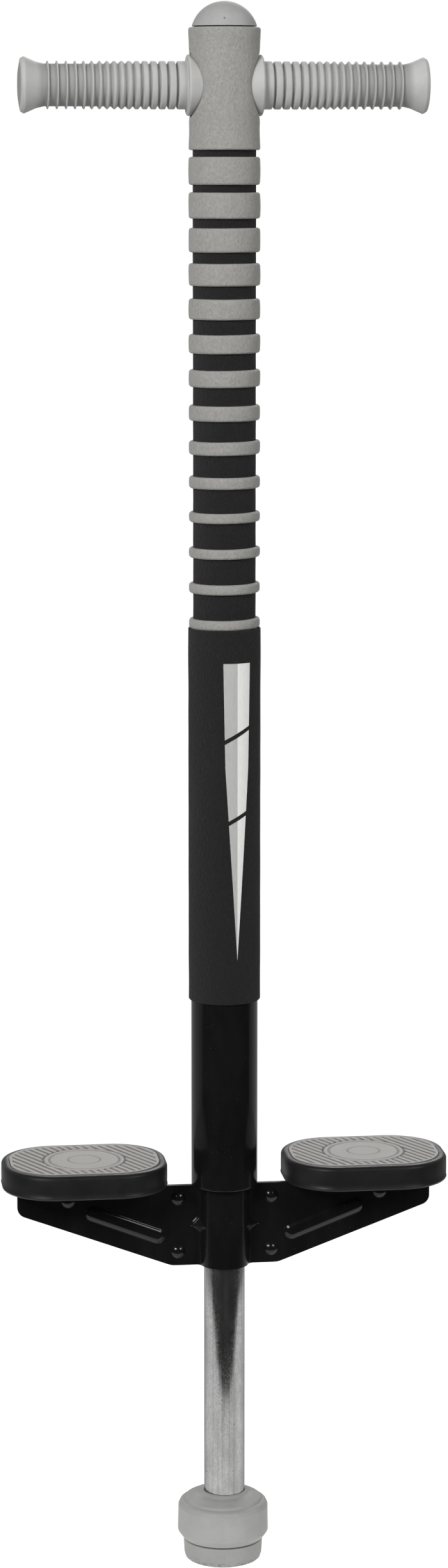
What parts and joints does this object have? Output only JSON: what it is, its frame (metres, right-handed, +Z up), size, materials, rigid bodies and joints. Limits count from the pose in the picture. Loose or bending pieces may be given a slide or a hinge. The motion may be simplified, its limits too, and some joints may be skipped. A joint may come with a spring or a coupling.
{
  "type": "pogo stick",
  "caption": "Child's spring pogo stick with foam-covered column, cross handle with ribbed grips, two tread pedals on a riveted plate bracket, sprung plunger and rubber tip.",
  "frame": {"origin": "centre of the tip's ground face, which is the bottom of the whole stick", "axes": "+Z up the stick, +X towards the right pedal and grip, +Y away from the printed side"},
  "size_m": [0.271, 0.076, 0.942],
  "materials": {
    "zinc_steel": "plain zinc plate",
    "gloss_black_steel": "gloss powder coat",
    "nylon": "natural nylon",
    "black_rubber": "plain black rubber",
    "grip_rubber": "soft matte grey rubber",
    "cap_plastic": "satin light grey plastic",
    "grey_foam": "closed-cell grey foam",
    "black_foam": "closed-cell black foam",
    "print_grey": "screen print",
    "print_white": "screen print",
    "pedal_rubber": "moulded black rubber",
    "tread_rubber": "moulded warm grey rubber",
    "spring_steel": "oiled spring wire",
    "bright_steel": "bright plate, lightly pitted",
    "tip_rubber": "moulded grey rubber"
  },
  "bodies": {
    "frame": {"upper_tube": "zinc_steel", "tube_reducer": "zinc_steel", "spring_housing": "gloss_black_steel", "upper_spring_seat": "zinc_steel", "housing_collar": "zinc_steel", "bracket_front": "gloss_black_steel", "bracket_back": "gloss_black_steel", "bracket_rivets": "gloss_black_steel", "guide_bushing": "nylon", "stop_bumper": "black_rubber", "handlebar": "zinc_steel", "handlebar_pin": "zinc_steel", "grip_left": "grip_rubber", "grip_right": "grip_rubber", "top_cap": "cap_plastic", "foam_head": "grey_foam", "foam_core": "black_foam", "foam_lower": "black_foam", "foam_ring_01": "grey_foam", "foam_ring_02": "grey_foam", "foam_ring_03": "grey_foam", "foam_ring_04": "grey_foam", "foam_ring_05": "grey_foam", "foam_ring_06": "grey_foam", "foam_ring_07": "grey_foam", "foam_ring_08": "grey_foam", "foam_ring_09": "grey_foam", "foam_ring_10": "grey_foam", "foam_ring_11": "grey_foam", "foam_ring_12": "grey_foam", "foam_ring_13": "grey_foam", "foam_ring_14": "grey_foam", "flash_dark": "print_grey", "flash_light": "print_white", "pedal_left": "pedal_rubber", "pedal_right": "pedal_rubber", "pedal_pad_left": "tread_rubber", "pedal_pad_right": "tread_rubber", "spring": "spring_steel"},
    "spring_seat": {"spring_seat": "zinc_steel"},
    "plunger": {"plunger_tube": "bright_steel", "plunger_head": "zinc_steel", "guide_ring": "nylon", "tip_washer": "zinc_steel", "tip": "tip_rubber"}
  },
  "joints": [
    {"name": "plunger_slide", "type": "slide", "parent": "frame", "child": "spring_seat", "axis": [0, 0, 1], "range_m": [0, 0.1], "stiffness_N_per_m": 6200, "springref_m": -0.012, "deforming": ["spring"]},
    {"name": "plunger_swivel", "type": "hinge", "parent": "spring_seat", "child": "plunger", "pos_m": [0, 0, 0.2], "axis": [0, 0, 1], "continuous": true}
  ]
}
